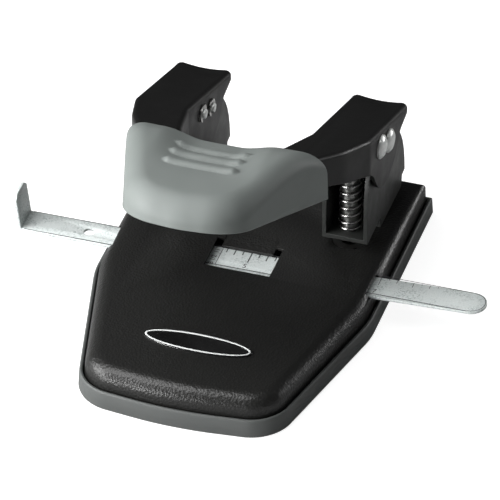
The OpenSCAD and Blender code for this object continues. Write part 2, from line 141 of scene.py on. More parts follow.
def new_object(name, points_mm, faces):
    """A mesh object from points in millimetres, welded and with its normals outwards."""
    mesh = bpy.data.meshes.new(name)
    mesh.from_pydata([tuple(c * MM for c in p) for p in points_mm], [], faces)
    bm = bmesh.new()
    bm.from_mesh(mesh)
    bmesh.ops.remove_doubles(bm, verts=bm.verts, dist=MERGE)
    bmesh.ops.dissolve_degenerate(bm, edges=bm.edges, dist=TINY)
    bmesh.ops.recalc_face_normals(bm, faces=bm.faces)
    bm.to_mesh(mesh)
    bm.free()
    obj = bpy.data.objects.new(name, mesh)
    bpy.context.scene.collection.objects.link(obj)
    return obj


def smooth(obj, degrees):
    obj.data.shade_smooth()
    obj.data.set_sharp_from_angle(angle=math.radians(degrees))


def loft(name, rings, around=False):
    """Skins rings of equally many points. The end rings are capped, or joined if around is set."""
    n = len(rings[0])
    points = [p for r in rings for p in r]
    faces = []
    pairs = [(k, k + 1) for k in range(len(rings) - 1)]
    if around:
        pairs.append((len(rings) - 1, 0))
    for k0, k1 in pairs:
        for i in range(n):
            j = (i + 1) % n
            faces.append((k0 * n + i, k0 * n + j, k1 * n + j, k1 * n + i))
    if not around:
        faces.append(tuple(range(n)))
        faces.append(tuple(range((len(rings) - 1) * n, len(rings) * n)))
    return new_object(name, points, faces)


def prism(outline, axis, low, high):
    """Points and faces of an outline extruded along X or Z, from low to high."""
    def at(p, along):
        return (along, p[0], p[1]) if axis == "x" else (p[0], p[1], along)

    n = len(outline)
    points = [at(p, low) for p in outline] + [at(p, high) for p in outline]
    faces = [(i, (i + 1) % n, n + (i + 1) % n, n + i) for i in range(n)]
    faces += [tuple(range(n)), tuple(range(n, 2 * n))]
    return points, faces


def circle(x, y, r, steps=64):
    angles = [2 * math.pi * i / steps for i in range(steps)]
    return [(x + r * math.cos(t), y + r * math.sin(t)) for t in angles]


def joined(name, solids):
    """One object from several (points, faces) solids."""
    points, faces = [], []
    for p, f in solids:
        base = len(points)
        points += p
        faces += [tuple(base + i for i in face) for face in f]
    return new_object(name, points, faces)


def apply_modifiers(obj):
    graph = bpy.context.evaluated_depsgraph_get()
    mesh = bpy.data.meshes.new_from_object(obj.evaluated_get(graph))
    obj.modifiers.clear()
    obj.data = mesh


def cut(obj, solids):
    """Takes the solids away from the object."""
    cutter = joined("cutter", solids)
    step = obj.modifiers.new("cut", "BOOLEAN")
    step.operation = "DIFFERENCE"
    step.solver = "EXACT"
    step.object = cutter
    apply_modifiers(obj)
    bpy.data.objects.remove(cutter)


def bevel(obj, width_mm, degrees=40):
    """Rounds the edges that turn by more than the given angle."""
    step = obj.modifiers.new("bevel", "BEVEL")
    step.width = width_mm * MM
    step.segments = 2
    step.limit_method = "ANGLE"
    step.angle_limit = math.radians(degrees)
    step.use_clamp_overlap = True


def bevelled(obj, width_mm, degrees=40):
    """Bevels the edges for good."""
    bevel(obj, width_mm, degrees)
    apply_modifiers(obj)


# ---------- materials ----------


def add_node(tree, kind, inputs=None):
    """A new shader node with the given input values."""
    node = tree.nodes.new(kind)
    for slot, value in (inputs or {}).items():
        node.inputs[slot].default_value = value
    return node


def map_range(tree, value, low, high, a=0.0, b=1.0):
    """A node that gives a below low, b above high, and a straight line between."""
    ends = {"From Min": low, "From Max": high, "To Min": a, "To Max": b}
    node = add_node(tree, "ShaderNodeMapRange", ends)
    tree.links.new(value, node.inputs["Value"])
    return node.outputs["Result"]


class Paint:
    """A Principled material built up from small procedural steps, in metres on the object."""

    def __init__(self, name, color, rough, metallic=0.0, coat=0.0, specular=0.5):
        self.mat = bpy.data.materials.new(name)
        self.mat.use_nodes = True
        self.tree = self.mat.node_tree
        self.bsdf = self.tree.nodes["Principled BSDF"]
        settings = {
            "Base Color": (*color, 1), "Roughness": rough, "Metallic": metallic,
            "Coat Weight": coat, "Coat Roughness": 0.12, "Specular IOR Level": specular,
        }
        for slot, value in settings.items():
            self.bsdf.inputs[slot].default_value = value
        self.coords = add_node(self.tree, "ShaderNodeTexCoord")
        self.normal = None

    def link(self, a, b):
        self.tree.links.new(a, b)

    def noise(self, size_mm, detail=4.0, rough=0.55, stretch=None):
        inputs = {"Scale": 1 / (size_mm * MM), "Detail": detail, "Roughness": rough}
        node = add_node(self.tree, "ShaderNodeTexNoise", inputs)
        self.link(self.stretched(stretch), node.inputs["Vector"])
        return node.outputs["Fac"]

    def cells(self, size_mm, feature="F1", smoothness=None):
        node = add_node(self.tree, "ShaderNodeTexVoronoi", {"Scale": 1 / (size_mm * MM)})
        node.feature = feature
        if smoothness is not None:
            node.inputs["Smoothness"].default_value = smoothness
        self.link(self.coords.outputs["Object"], node.inputs["Vector"])
        return node

    def stretched(self, stretch):
        if stretch is None:
            return self.coords.outputs["Object"]
        node = add_node(self.tree, "ShaderNodeMapping", {"Scale": stretch})
        self.link(self.coords.outputs["Object"], node.inputs["Vector"])
        return node.outputs["Vector"]

    def ramp(self, value, low, high, a=0.0, b=1.0):
        return map_range(self.tree, value, low, high, a, b)

    def math(self, kind, a, b):
        node = add_node(self.tree, "ShaderNodeMath")
        node.operation = kind
        for slot, value in zip(node.inputs, (a, b)):
            if isinstance(value, (int, float)):
                slot.default_value = value
            else:
                self.link(value, slot)
        return node.outputs["Value"]

    def tint(self, factor, color):
        """Mixes the base colour towards color where factor is 1."""
        node = add_node(self.tree, "ShaderNodeMix")
        node.data_type = "RGBA"
        base = self.bsdf.inputs["Base Color"]
        if base.links:
            self.link(base.links[0].from_socket, node.inputs["A"])
        else:
            node.inputs["A"].default_value = base.default_value[:]
        node.inputs["B"].default_value = (*color, 1)
        self.link(factor, node.inputs["Factor"])
        self.link(node.outputs["Result"], base)

    def roughen(self, factor, low, high):
        """Lets the roughness wander between low and high."""
        self.link(self.ramp(factor, 0.3, 0.7, low, high), self.bsdf.inputs["Roughness"])

    def bump(self, height, depth_mm, strength):
        inputs = {"Strength": strength, "Distance": depth_mm * MM}
        node = add_node(self.tree, "ShaderNodeBump", inputs)
        self.link(height, node.inputs["Height"])
        if self.normal is not None:
            self.link(self.normal, node.inputs["Normal"])
        self.normal = node.outputs["Normal"]
        self.link(self.normal, self.bsdf.inputs["Normal"])

    def grain(self, size_mm, detail, depth_mm, strength):
        """A bumpy surface with lumps of about the given size."""
        self.bump(self.noise(size_mm, detail), depth_mm, strength)

    def mottle(self, size_mm, detail, low, high, amount, color):
        """Patches of color: none where the noise is below low, and amount of it above high."""
        self.tint(self.ramp(self.noise(size_mm, detail), low, high, 0.0, amount), color)

    def worn_edges(self, color, radius_mm, amount):
        """Shows color where the surface turns within radius, as rubbed edges do."""
        round_node = add_node(self.tree, "ShaderNodeBevel", {"Radius": radius_mm * MM})
        round_node.samples = 4
        geometry = add_node(self.tree, "ShaderNodeNewGeometry")
        dot = add_node(self.tree, "ShaderNodeVectorMath")
        dot.operation = "DOT_PRODUCT"
        self.link(round_node.outputs["Normal"], dot.inputs[0])
        self.link(geometry.outputs["Normal"], dot.inputs[1])
        edge = self.ramp(dot.outputs["Value"], 0.97, 0.8)
        patchy = self.ramp(self.noise(1.2), 0.45, 0.6)
        self.tint(self.math("MULTIPLY", self.math("MULTIPLY", edge, patchy), amount), color)


def wrinkle_black():
    paint = Paint("wrinkle_black", (0.0115, 0.0115, 0.011), 0.32, specular=0.42)
    coarse = paint.cells(0.95, "SMOOTH_F1", smoothness=0.35).outputs["Distance"]
    fine = paint.noise(0.42, detail=3.0, rough=0.6)
    height = paint.math("ADD", coarse, paint.math("MULTIPLY", fine, 0.55))
    paint.bump(height, 0.16, 0.75)
    paint.grain(26, 1.0, 0.25, 0.5)
    paint.mottle(2.4, 2.0, 0.35, 0.75, 0.55, (0.012, 0.012, 0.011))
    # Pale specks: painted highlights on the grain.
    paint.mottle(0.5, 1.0, 0.72, 0.78, 0.5, (0.05, 0.05, 0.046))
    paint.roughen(fine, 0.28, 0.42)
    return paint.mat


def bracket_dark():
    paint = Paint("bracket_dark", (0.02, 0.0215, 0.02), 0.4)
    paint.grain(0.8, 3.0, 0.02, 0.4)
    paint.roughen(paint.noise(6, detail=4.0), 0.36, 0.5)
    paint.mottle(11, 3.0, 0.4, 0.7, 0.5, (0.03, 0.032, 0.03))
    paint.worn_edges((0.11, 0.11, 0.105), 0.25, 0.5)
    return paint.mat


def zinc(name="scale_zinc", color=(0.69, 0.73, 0.72), rough=0.36, speck=0.95):
    paint = Paint(name, color, rough, metallic=0.12)
    patch = paint.cells(1.5).outputs["Color"]
    paint.tint(paint.ramp(patch, 0.2, 0.9, 0.0, 0.4), (0.66, 0.72, 0.71))
    speckle = paint.ramp(paint.noise(0.7, detail=3.0, rough=0.75), 0.5, 0.6)
    where = paint.ramp(paint.noise(7, detail=2.0), 0.4, 0.62, 0.15, 1.0)
    paint.tint(paint.math("MULTIPLY", paint.math("MULTIPLY", speckle, where), speck), (0.34, 0.39, 0.38))
    paint.mottle(0.45, 2.0, 0.66, 0.72, 0.8, (0.9, 0.93, 0.92))
    paint.roughen(paint.noise(1.4, detail=3.0), rough - 0.08, rough + 0.14)
    paint.grain(0.6, 3.0, 0.015, 0.5)
    return paint.mat


def steel(name, color, rough, grain=(1, 1, 1), depth=0.01):
    paint = Paint(name, color, rough, metallic=1.0)
    paint.bump(paint.noise(0.3, detail=2.0, stretch=grain), depth, 0.6)
    paint.roughen(paint.noise(3, detail=4.0), rough - 0.06, rough + 0.1)
    dull = tuple(c * 0.72 for c in color)
    paint.mottle(2.5, 3.0, 0.42, 0.7, 0.5, dull)
    return paint.mat


def coating(name, color, rough, grains, patches, wander=None, **more):
    """A plain material. grains and patches hold what Paint.grain and Paint.mottle take."""
    paint = Paint(name, color, rough, **more)
    for grain in grains:
        paint.grain(*grain)
    if wander is not None:
        size_mm, detail, low, high = wander
        paint.roughen(paint.noise(size_mm, detail), low, high)
    paint.mottle(*patches)
    return paint.mat


def wear(obj, material):
    obj.data.materials.clear()
    obj.data.materials.append(material)


def settle(obj, material, body, stands_for=None, degrees=40):
    """Shades a finished piece, gives it its material and puts it on its body."""
    if degrees is not None:
        smooth(obj, degrees)
    wear(obj, material)
    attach(obj, body)
    if stands_for is not None:
        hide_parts(stands_for)


WRINKLE = wrinkle_black()
LEVER_BLACK = coating(
    "lever_black", (0.005, 0.005, 0.0048), 0.42, specular=0.3,
    grains=[(1.6, 2.0, 0.03, 0.35), (0.35, 2.0, 0.012, 0.35)],
    wander=(9, 5.0, 0.36, 0.47),
    patches=(14, 4.0, 0.4, 0.75, 0.5, (0.007, 0.007, 0.0067)),
)
BRACKET = bracket_dark()
TRAY = coating(
    "tray_plastic", (0.076, 0.081, 0.079), 0.52, specular=0.4,
    grains=[(0.28, 2.0, 0.02, 0.4)],
    wander=(12, 3.0, 0.46, 0.6),
    patches=(22, 2.0, 0.35, 0.7, 0.5, (0.088, 0.092, 0.09)),
)
GRIP = coating(
    "grip_grey", (0.165, 0.182, 0.174), 0.55, specular=0.3,
    grains=[(0.22, 2.0, 0.012, 0.35), (7, 1.0, 0.06, 0.25)],
    wander=(8, 5.0, 0.48, 0.62),
    patches=(16, 3.0, 0.35, 0.7, 0.45, (0.19, 0.206, 0.2)),
)
SCALE = zinc()
PLATE = zinc("plate_steel", (0.5, 0.51, 0.5), 0.42, 0.4)
PIN = coating(
    "pin_steel", (0.86, 0.88, 0.86), 0.34, metallic=0.35,
    grains=[(0.5, 3.0, 0.012, 0.5)],
    wander=(1.2, 3.0, 0.28, 0.42),
    patches=(1.6, 3.0, 0.45, 0.7, 0.4, (0.66, 0.68, 0.66)),
)
CLIP = steel("clip_steel", (0.62, 0.62, 0.6), 0.3)
RIVET = steel("rivet_steel", (0.55, 0.55, 0.54), 0.38)
PUNCH = steel("tool_steel", (0.36, 0.36, 0.35), 0.3, grain=(1, 1, 8), depth=0.006)
WIRE = steel("spring_wire", (0.5, 0.5, 0.49), 0.2, grain=(1, 1, 3), depth=0.004)
BADGE = coating(
    "badge_black", (0.006, 0.006, 0.006), 0.22, coat=0.6,
    grains=[(3, 1.0, 0.01, 0.4)],
    patches=(5, 3.0, 0.4, 0.7, 0.4, (0.012, 0.012, 0.012)),
)
BADGE_PALE = coating(
    "badge_white", (0.74, 0.76, 0.75), 0.3, coat=0.3,
    grains=[(0.8, 2.0, 0.008, 0.4)],
    patches=(1.5, 3.0, 0.45, 0.7, 0.35, (0.6, 0.62, 0.61)),
)
# Dark ink for the printed marks, also used for the painted shade along the scale's edges.
INK_AND_EDGE_SHADE = coating(
    "ink_and_edge_shade", (0.02, 0.02, 0.022), 0.5,
    grains=[(0.3, 2.0, 0.006, 0.4)],
    patches=(0.5, 2.0, 0.5, 0.7, 0.5, (0.1, 0.11, 0.11)),
)

# ---------- base: tray, cover, badge ----------

tray_hi = cad_box("chip_tray")[1]
cover_lo, cover_hi = cad_box("base_cover")
cover_top = cover_hi.z
cover_inset = 2.6  # from the tray's outline to the cover's sides
sheet_t = 1.2
through_sheet = (cover_top - sheet_t - 1.5, cover_top + 1)  # heights of what cuts through it
side_kink_y = -37.3  # where the sides start to close in towards the nose

# The tray's outline from the nose round its right side, as (x, y, radius).
base_corners = both_sides([
    (0, -110.4, 150),
    (38.4, -106.2, 17),
    (tray_hi.x, side_kink_y, 40),
    (tray_hi.x, tray_hi.y, 0.6),
])


def make_tray():
    """The tray, up its outside, over its rim and down its inside, as (inset, height) pairs."""
    rim = tray_hi.z
    profile = [
        (1.2, 0), (0.6, 0.08), (0.2, 0.35), (0.02, 0.85), (0.42, rim - 0.7), (0.56, rim - 0.25),
        (0.85, rim), (1.4, rim), (1.68, rim - 0.2), (1.8, rim - 0.6), (1.8, 3.3), (2.1, 3.0),
        (5.0, 3.0), (5.3, 2.7), (5.3, 1.9), (5.6, 1.6),
    ]
    rings = [[(p.x, p.y, z) for p in ring(base_corners, inset, 14)] for inset, z in profile]
    obj = loft("chip_tray_moulding", rings)
    settle(obj, TRAY, "chip_tray", "chip_tray")


window_w = 25.9
window_d = 17.8
window_y = -22.8
tongue_w = 20.2
tongue_root = -9.6
guide_lo, guide_hi = cad_box("paper_guide")
guide_y = cad_middle("guide_rail").y
guide_top = 13.7
guide_t = 1.2
guide_w = guide_hi.y - guide_lo.y


def window_cut():
    """The window over the scale, with the slits beside its spring tongue."""
    half = window_w / 2
    back = window_y + window_d / 2
    front = window_y - window_d / 2
    slit = 0.04
    arms = tongue_w / 2 + slit
    outline = [
        (-half, front), (half, front), (half, back), (arms, back),
        (arms, tongue_root), (-arms, tongue_root), (-arms, back), (-half, back),
    ]
    return prism(outline, "z", *through_sheet)


def guide_slot(side):
    """The opening in the shoulder where the paper guide comes out, seen along X."""
    room_below, room_above, room_beside = 0.3, 0.92, 0.5
    lower_r, upper_r = 0.9, 0.5
    inner_x, outer_x = 45.4, 56
    low = guide_top - guide_t - room_below
    high = guide_top + room_above
    half = guide_w / 2 + room_beside
    corners = [
        (guide_y - half, low, lower_r), (guide_y + half, low, lower_r),
        (guide_y + half, high, upper_r), (guide_y - half, high, upper_r),
    ]
    outline = [(p.x, p.y) for p in ring(corners, 0, 5)]
    ends = sorted((side * inner_x, side * outer_x))
    return prism(outline, "x", *ends)


def shoulder_r(y):
    """Radius of the cover's shoulder, which narrows towards the rear corners."""
    front, rear = 6.0, 2.2
    t = (y - side_kink_y) / (tray_hi.y - side_kink_y)
    return front + (rear - front) * max(0.0, min(1.0, t))


def cover_ring(inset, height):
    """The cover's outline moved in by inset, at height(y)."""
    return [(p.x, p.y, height(p.y)) for p in ring(base_corners, inset, 14, 10)]


def shoulder_ring(skin, a):
    """The cover's outline at the angle a round its shoulder, moved in by skin."""
    def inset(y):
        return cover_inset + skin + (shoulder_r(y) - skin) * (1 - math.cos(a))

    def height(y):
        return cover_top - skin - (shoulder_r(y) - skin) * (1 - math.sin(a))

    return cover_ring(inset, height)


def make_cover():
    """The pressed cover: the outside from its flat top down, then the inside back up."""
    bottom = cover_lo.z
    edge = 0.15
    wall_top = 5.5
    flat_start = cover_inset + 0.5
    heights = (bottom, bottom + edge, wall_top)
    outside = [cover_ring(i, lambda y, z=z: z) for i, z in zip((2.45, 2.3, 2.33), heights)]
    inside = [cover_ring(i, lambda y, z=z: z) for i, z in zip((3.35, 3.5, 3.53), heights)]
    steps = 12
    for k in range(steps + 1):
        a = math.pi / 2 * k / steps
        outside.append(shoulder_ring(0, a))
        inside.append(shoulder_ring(sheet_t, a))
    outside.append(cover_ring(lambda y: flat_start + shoulder_r(y), lambda y: cover_top))
    inside.append(cover_ring(lambda y: flat_start + shoulder_r(y), lambda y: cover_top - sheet_t))
    obj = loft("base_cover_shell", outside[::-1] + inside)
    die_x = cad_middle("right_die").x
    die_r = 6.6
    holes = [prism(circle(s * die_x, 0, die_r), "z", *through_sheet) for s in (-1, 1)]
    cut(obj, [window_cut(), guide_slot(-1), guide_slot(1)] + holes)
    bevelled(obj, 0.14, 50)
    settle(obj, WRINKLE, "base", "base_cover")


def make_tongue():
    """The spring tongue of the window: a strip of the cover bent down onto the paper guide."""
    length = 7.95
    drop = 0.74
    overlap = 0.05
    sunk = 0.01
    share_of_bend = 0.94
    steps = 14
    columns = 10
    top = []
    for i in range(steps + 1):
        t = i / steps
        y = tongue_root + overlap - length * t
        top.append((y, cover_top - sunk - drop * float(smoothstep(t * share_of_bend))))
    side = top + [(y, z - sheet_t) for y, z in reversed(top)]
    rings = []
    for k in range(columns + 1):
        x = -tongue_w / 2 + tongue_w * k / columns
        rings.append([(x, y, z) for y, z in side])
    obj = loft("window_tongue", rings)
    bevelled(obj, 0.12, 50)
    settle(obj, WRINKLE, "base")


def ellipse_ring(a, b, z, y, steps=96):
    angles = [2 * math.pi * i / steps for i in range(steps)]
    return [(a * math.cos(t), y + b * math.sin(t), z) for t in angles]


def make_badge():
    """A plain oval plate with a pale line round it, each as (inset, height) pairs."""
    lo, hi = cad_box("badge_plate")
    a, b, y = hi.x, (hi.y - lo.y) / 2, (hi.y + lo.y) / 2
    plate = [
        (0.05, 0), (0, 0.1), (0, 0.32), (0.1, 0.45), (0.35, 0.5), (1.2, 0.44), (2.0, 0.47), (3.4, 0.54),
    ]
    line = [(0.5, 0.4), (0.55, 0.56), (0.67, 0.62), (1.12, 0.62), (1.24, 0.56), (1.29, 0.4)]

    def rings(profile):
        return [ellipse_ring(a - i, b - i, lo.z + z, y) for i, z in profile]

    settle(loft("badge_enamel", rings(plate)), BADGE, "base", "badge_plate")
    settle(loft("badge_rim", rings(line), around=True), BADGE_PALE, "base")


make_tray()
make_cover()
make_tongue()
make_badge()

# ---------- paper guide ----------

tab_lean = math.radians(7)
bend_r = 0.3
bend_turn = math.pi / 2 - tab_lean
bend_mid = bend_r + guide_t / 2
tab_foot_z = guide_top - guide_t
tab_face_h = guide_hi.z - guide_t * math.sin(tab_lean) - tab_foot_z
tab_face_x = guide_lo.x + tab_face_h * math.tan(tab_lean)
bend_x = tab_face_x + bend_r + guide_t
tab_mid_h = guide_hi.z - guide_top + guide_t / 2 * (1 - math.sin(tab_lean))
tab_rise = (tab_mid_h - bend_mid * (1 - math.cos(bend_turn))) / math.cos(tab_lean)
rise_x = 50.8
rise_turn = math.radians(2.2)


def bent_up(p):
    """Bends the flat strip's left end up into the tab and lifts its right end a little."""
    if p.x > rise_x:
        along = p.x - rise_x
        above = p.z - guide_top
        return Vector((
            rise_x + along * math.cos(rise_turn) - above * math.sin(rise_turn),
            p.y,
            guide_top + along * math.sin(rise_turn) + above * math.cos(rise_turn),
        ))
    if p.x >= bend_x:
        return p
    s = bend_x - p.x
    r = bend_r + guide_top - p.z
    turn = min(s / bend_mid, bend_turn)
    past = max(0.0, s - bend_mid * bend_turn)
    x = bend_x - r * math.sin(turn) - past * math.cos(bend_turn)
    z = guide_top + bend_r - r * math.cos(turn) + past * math.sin(bend_turn)
    return Vector((x, p.y, z))


def make_paper_guide():
    """The strip is cut out flat, with a round right end and clipped left corners, and then bent."""
    r = guide_w / 2
    left = bend_x - bend_mid * bend_turn - tab_rise
    clip_x, clip_y = 2.2, 1.8
    blunt_x, blunt_y = 0.5, 0.7
    end_room = 0.06
    hole_x, hole_r = -61, 2.15
    right = guide_hi.x - end_room - r
    steps = 28
    turns = [math.pi * k / steps for k in range(steps + 1)]
    tip = [(right + r * math.sin(a), guide_y - r * math.cos(a)) for a in turns]
    outline = [(left + clip_x, guide_y - r)] + tip + [
        (left + clip_x, guide_y + r), (left + blunt_x, guide_y + r - clip_y),
        (left, guide_y + r - clip_y - blunt_y), (left, guide_y - r + clip_y + blunt_y),
        (left + blunt_x, guide_y - r + clip_y),
    ]
    obj = joined("paper_guide_strip", [prism(outline, "z", guide_top - guide_t, guide_top)])
    cut(obj, [prism(circle(hole_x, guide_y, hole_r, 48), "z", guide_top - 3, guide_top + 3)])
    bevelled(obj, 0.16)
    bm = bmesh.new()
    bm.from_mesh(obj.data)
    bends = 12
    seams = [bend_x - bend_mid * bend_turn * k / bends for k in range(bends + 1)] + [rise_x]
    for at in seams:
        bmesh.ops.bisect_plane(
            bm, geom=bm.verts[:] + bm.edges[:] + bm.faces[:], dist=TINY,
            plane_co=(at * MM, 0, 0), plane_no=(1, 0, 0),
        )
    for v in bm.verts:
        v.co = bent_up(v.co / MM) * MM
    bm.to_mesh(obj.data)
    bm.free()
    settle(obj, SCALE, "paper_guide", "paper_guide")


mark_low = guide_top - 0.02
mark_high = guide_top + 0.04


def numeral(text, x, y, size, turn=0.0):
    """A plain printed number on the strip's top face, as points and faces."""
    lift, thick = 0.008, 0.012
    curve = bpy.data.curves.new("numeral", "FONT")
    curve.body = text
    curve.size = size * MM
    curve.align_x = "CENTER"
    curve.align_y = "CENTER"
    curve.extrude = thick * MM
    obj = bpy.data.objects.new("numeral", curve)
    obj.location = (x * MM, y * MM, (guide_top + lift) * MM)
    obj.rotation_euler.z = turn
    bpy.context.scene.collection.objects.link(obj)
    bpy.context.view_layer.update()
    graph = bpy.context.evaluated_depsgraph_get()
    mesh = bpy.data.meshes.new_from_object(obj.evaluated_get(graph))
    mesh.transform(obj.matrix_world)
    points = [tuple(v.co / MM) for v in mesh.vertices]
    faces = [tuple(f.vertices) for f in mesh.polygons]
    bpy.data.objects.remove(obj)
    return points, faces


def bar(x0, x1, y0, y1):
    """A thin dark bar on the strip's top face: printed marks, and painted shade along its edges."""
    return prism([(x0, y0), (x1, y0), (x1, y1), (x0, y1)], "z", mark_low, mark_high)


def scale_divisions(zero, back):
    """Marks each eighth of an inch from the back edge in, with a number at each inch."""
    first, last, finer_after = -3, 23, 12
    first_number = 5
    solids = []
    for k in range(first, last + 1):
        x = zero + k * INCH / 8
        length = 6.0 if k % 8 == 0 else 4.2 if k % 4 == 0 else 3.2 if k % 2 == 0 else 2.2
        half = 0.2 if k < finer_after else 0.1
        if k > finer_after:
            length -= 1.4
        solids.append(bar(x - half, x + half, back - length, back))
        if k % 8 == 0:
            solids.append(numeral(str(first_number + k // 8), x - 0.4, guide_y - 2.7, 3.4))
    return solids


def rounded_end_shade():
    """A dark line round the strip's right end: painted shade along its rounded edge."""
    outer = guide_w / 2 - 0.35
    inner = outer - 0.26
    centre_x = guide_hi.x - 6.1
    solids = []
    for k in range(12):
        a, b = (math.radians(-90 + 15 * (k + i)) for i in (0, 1))
        rim = [
            (centre_x + r * math.cos(t), guide_y + r * math.sin(t))
            for r, t in ((inner, a), (outer, a), (outer, b), (inner, b))
        ]
        solids.append(prism(rim, "z", mark_low, mark_high))
    return solids


def make_marks():
    """Everything printed on the scale, and the painted shade along its edges, bent with it."""
    back = guide_y + guide_w / 2 - 0.2
    front = guide_y - guide_w / 2 + 0.25
    zero = 1.72  # x of the first numbered mark
    edge_shade_left = tab_face_x + 2.4
    edge_shade_right = 88.8
    solids = scale_divisions(zero, back)
    solids.append(numeral("8 1/2  11", zero - 13.1, guide_y - 0.2, 2.7, math.pi / 2))
    solids.append(bar(zero - 11.4, zero - 11.2, front + 0.6, back - 0.8))
    # Dark lines just inside the back and front edges: painted shade along the edges, not print.
    solids.append(bar(edge_shade_left, edge_shade_right, back - 0.22, back + 0.04))
    solids.append(bar(edge_shade_left, edge_shade_right, front - 0.1, front + 0.2))
    obj = joined("scale_marks", solids + rounded_end_shade())
    for v in obj.data.vertices:
        v.co = bent_up(v.co / MM) * MM
    settle(obj, INK_AND_EDGE_SHADE, "paper_guide", degrees=None)


make_paper_guide()
make_marks()

# ---------- lever ----------

lever_hi = cad_box("lever")[1]
arm_out = lever_hi.x
arm_in = 23.925
lever_rear = lever_hi.y
lever_rear_z = 54.2
lever_slope = math.tan(math.radians(19.5))
lever_t = 1.4
lever_front = -76.0
pivot = Vector(joint_named("lever_pivot")["pos_m"]) / MM


def saddle(y):
    """How far the lever's top dips under the grip."""
    return 2.4 * smoothstep((-y - 44) / 14)


def lever_top(y):
    return lever_rear_z + (lever_rear - y) * lever_slope - saddle(y)


# The flanges' lower edge seen from the side, as (y, z).
FLANGE_EDGE = [
    (40.3, 52), (27, 49.4), (23, 43.6), (19.5, 40.3), (14, 38.6), (8.5, 38.4), (3, 39.8),
    (-0.8, 42.6), (-3.8, 46.2), (-7.5, 52.6), (-11.5, 55.8), (-36.8, 67), (-92, 88),
]


def flange_bottom():
    """The flanges' lower edge as a smooth function of y."""
    reach = 7  # samples to each side that the smoothing looks at
    ys = np.arange(-94, 46, 0.25)
    edge = sorted(FLANGE_EDGE)
    zs = np.interp(ys, [p[0] for p in edge], [p[1] for p in edge])
    window = np.hanning(2 * reach + 1)
    padded = np.pad(zs, reach, mode="edge")
    even = np.convolve(padded, window / window.sum(), "valid")
    return lambda y: float(np.interp(y, ys, even))


def inward_normals(points):
    n = len(points)
    normals = []
    for i in range(n):
        d = (points[(i + 1) % n] - points[i - 1]).normalized()
        normals.append(Vector((-d.y, d.x)))
    return normals


def pin_holes():
    """The holes through both arms for the pivot pins and the drive pins."""
    pin_hole_r = 1.95
    drive = cad_middle("right_drive_pin")
    holes = []
    for s in (-1, 1):
        ends = sorted((s * (arm_in - 2), s * (arm_out + 2)))
        for y, z in ((pivot.y, pivot.z), (drive.y, drive.z)):
            holes.append(prism(circle(y, z, pin_hole_r, 40), "x", *ends))
    return holes


def make_lever():
    """A pressing: a top sheet, flanges all round, and the rolled bend between them."""
    outline = ring(both_sides([
        (17, lever_front, 8), (31.6, -50, 10), (41.2, -30, 30), (arm_out, -12, 10),
        (arm_out, lever_rear, 3), (arm_in, lever_rear, 3), (arm_in, -15, 5), (19.5, -37, 5), (12, -48, 8),
    ]), 0, 9, 24)
    normals = inward_normals(outline)
    bottom = flange_bottom()
    bend, rear_bend, bend_change = 2.2, 1.5, 4.5
    edge_r, edge_h = 0.3, 0.25
    least_inner_r = 0.3
    thinned = 1.06
    arc = 8

    def bend_at(p):
        return rear_bend + (bend - rear_bend) * float(smoothstep((lever_rear - p.y) / bend_change))

    def inner_bend_at(p):
        return max(bend_at(p) - lever_t, least_inner_r)

    def layer(inset_of, z_of):
        """The outline moved in by inset_of(p), at the height z_of(p, q) for p moved to q."""
        moved = [p + n * inset_of(p) for p, n in zip(outline, normals)]
        return [(q.x, q.y, z_of(p, q)) for p, q in zip(outline, moved)]

    def edge_z(p, q):
        return min(bottom(p.y), lever_top(q.y) - bend_at(p) - 0.1)

    upper = [layer(lambda p: 0.0, lambda p, q: edge_z(p, q) + edge_h)]
    under = [layer(lambda p: lever_t, lambda p, q: edge_z(p, q) + edge_h)]
    for k in range(arc + 1):
        a = math.pi / 2 * k / arc
        upper.append(layer(
            lambda p: bend_at(p) * (1 - math.cos(a)),
            lambda p, q: lever_top(q.y) - bend_at(p) * (1 - math.sin(a)),
        ))
        under.append(layer(
            lambda p: lever_t + inner_bend_at(p) * (1 - math.cos(a)),
            lambda p, q: lever_top(q.y) - lever_t * thinned - inner_bend_at(p) * (1 - math.sin(a)),
        ))
    edge = [layer(lambda p: edge_r, edge_z), layer(lambda p: lever_t - edge_r, edge_z)]
    obj = loft("lever_pressing", upper[::-1] + edge + under)
    cut(obj, pin_holes())
    sag_rear(obj)
    settle(obj, LEVER_BLACK, "lever", "lever", 32)


def sag_rear(obj):
    """Presses the middle of each arm's rear edge down a little, as the pressing tool left it."""
    depth = 0.9
    reach = 13.0
    axis_x = (arm_out + arm_in) / 2
    half = (arm_out - arm_in) / 2
    start = lever_rear - reach
    bm = bmesh.new()
    bm.from_mesh(obj.data)
    planes = [((0, start + reach * k / 4, 0), (0, 1, 0)) for k in range(4)]
    planes += [((s * (axis_x + half * f), 0, 0), (1, 0, 0)) for s in (-1, 1)
               for f in (-0.55, -0.35, -0.12, 0.12, 0.35, 0.55)]
    for co, no in planes:
        near = [f for f in bm.faces if max(v.co.y for v in f.verts) / MM > start]
        edges = {e for f in near for e in f.edges}
        verts = {v for f in near for v in f.verts}
        bmesh.ops.bisect_plane(
            bm, geom=list(verts) + list(edges) + near, dist=TINY,
            plane_co=[c * MM for c in co], plane_no=no,
        )
    for v in bm.verts:
        p = v.co / MM
        across = max(0.0, 1 - ((abs(p.x) - axis_x) / (half * 0.8)) ** 2)
        along = float(smoothstep((p.y - start) / reach))
        upper = float(smoothstep((p.z - lever_top(p.y) + 4) / 2))
        v.co.z -= depth * across * along * upper * MM
    bm.to_mesh(obj.data)
    bm.free()


make_lever()

# ---------- grip ----------

grip_rear = -42.1
grip_length = 57.0
rear_r = 1.3
least_side = 1.2


def grip_foot(y):
    """The height of the grip's lower edge."""
    rear_z, slope = 65.2, 0.35
    return rear_z + slope * (grip_rear - y)


def open_path(corners, steps):
    """An open path through (x, y, radius) corners, rounded at all but its ends."""
    at = [Vector(c[:2]) for c in corners]
    points = [at[0]]
    for i in range(1, len(at) - 1):
        points += corner_arc(at[i - 1], at[i], at[i + 1], corners[i][2], steps)
    return points + [at[-1]]


